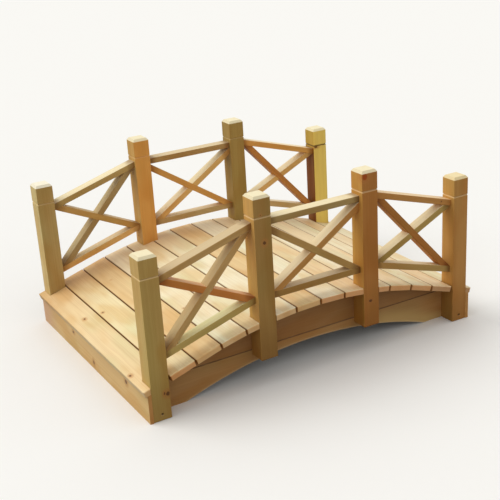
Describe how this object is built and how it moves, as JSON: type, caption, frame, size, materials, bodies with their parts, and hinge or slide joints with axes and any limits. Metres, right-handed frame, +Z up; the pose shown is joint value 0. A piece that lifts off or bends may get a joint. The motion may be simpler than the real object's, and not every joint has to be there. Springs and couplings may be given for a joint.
{
  "type": "moon bridge",
  "caption": "Arched wooden garden footbridge with a curved board deck, square posts with bevelled tops and sloping railings with crossed braces.",
  "frame": {"origin": "ground level under the middle of the bridge", "axes": "+X along the bridge, +Y across it towards the back row of posts, +Z up"},
  "size_m": [2.0955, 1.515, 1.039],
  "materials": {
    "post_wood": "planed, oiled",
    "rail_wood": "planed, oiled",
    "brace_wood": "planed, oiled",
    "deck_wood": "planed, oiled",
    "fascia_wood": "planed, oiled",
    "stringer_wood": "planed, oiled"
  },
  "bodies": {
    "root": {"front_post_1": "post_wood", "front_post_2": "post_wood", "front_post_3": "post_wood", "front_post_4": "post_wood", "back_post_1": "post_wood", "back_post_2": "post_wood", "back_post_3": "post_wood", "back_post_4": "post_wood", "front_stringer_upper": "stringer_wood", "front_stringer_lower": "stringer_wood", "centre_stringer_upper": "stringer_wood", "centre_stringer_lower": "stringer_wood", "back_stringer_upper": "stringer_wood", "back_stringer_lower": "stringer_wood", "left_fascia": "fascia_wood", "right_fascia": "fascia_wood", "left_nosing_board": "deck_wood", "left_deck_boards": "deck_wood", "middle_deck_boards": "deck_wood", "right_deck_boards": "deck_wood", "right_nosing_board": "deck_wood", "front_handrail_1": "rail_wood", "front_handrail_2": "rail_wood", "front_handrail_3": "rail_wood", "back_handrail_1": "rail_wood", "back_handrail_2": "rail_wood", "back_handrail_3": "rail_wood", "front_bottom_rail_1": "rail_wood", "front_bottom_rail_2": "rail_wood", "front_bottom_rail_3": "rail_wood", "back_bottom_rail_1": "rail_wood", "back_bottom_rail_2": "rail_wood", "back_bottom_rail_3": "rail_wood", "front_rising_brace_1": "brace_wood", "front_rising_brace_2": "brace_wood", "front_rising_brace_3": "brace_wood", "front_falling_brace_1": "brace_wood", "front_falling_brace_2": "brace_wood", "front_falling_brace_3": "brace_wood", "back_rising_brace_1": "brace_wood", "back_rising_brace_2": "brace_wood", "back_rising_brace_3": "brace_wood", "back_falling_brace_1": "brace_wood", "back_falling_brace_2": "brace_wood", "back_falling_brace_3": "brace_wood"}
  },
  "joints": []
}
